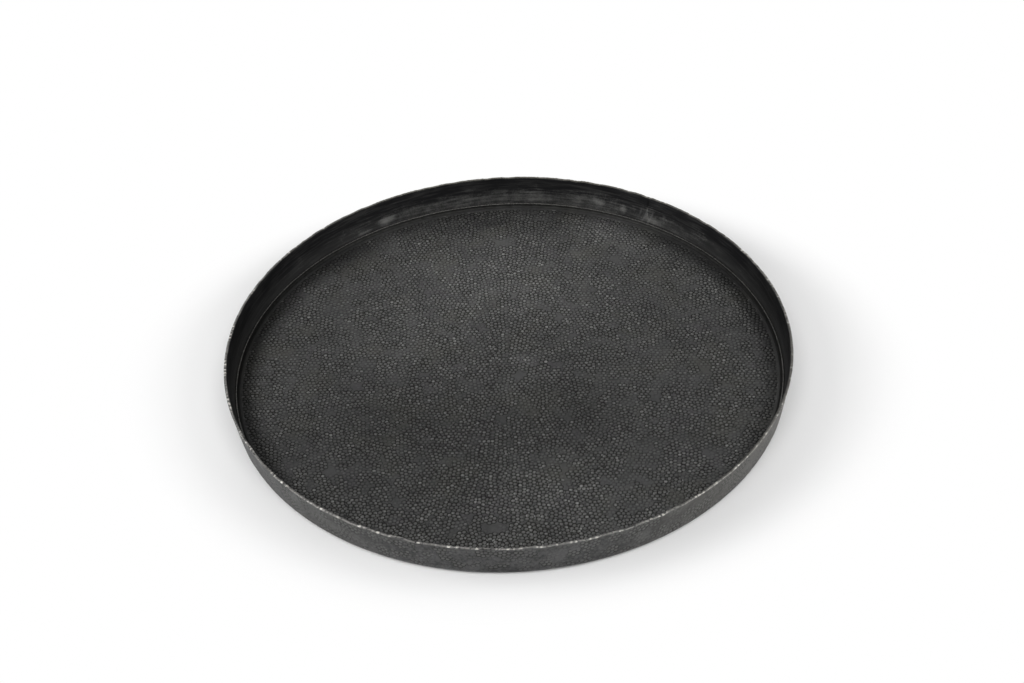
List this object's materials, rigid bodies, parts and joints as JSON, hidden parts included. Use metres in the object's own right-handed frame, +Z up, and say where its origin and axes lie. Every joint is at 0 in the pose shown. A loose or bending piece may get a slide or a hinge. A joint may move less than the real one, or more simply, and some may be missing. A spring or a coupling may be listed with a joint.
{
  "type": "round serving tray",
  "caption": "Low round tray of dark hammered sheet metal, with an upright wall, a worn bare top edge and a flat foot, for serving or display.",
  "frame": {"origin": "on the table, under the middle of the tray", "axes": "+Z up through the middle of the tray, +X to the right and +Y away from the viewer in the picture"},
  "size_m": [0.45, 0.4499, 0.031],
  "materials": {
    "hammered_metal": "hand-hammered and blackened, worn brighter on the raised pips",
    "dark_band": "blackened, satin, with a worn bare top edge",
    "weld_metal": "rough weld bead"
  },
  "bodies": {
    "root": {"floor_pan": "hammered_metal", "side_band": "dark_band", "band_seam": "dark_band", "weld_stitches": "weld_metal"}
  },
  "joints": []
}
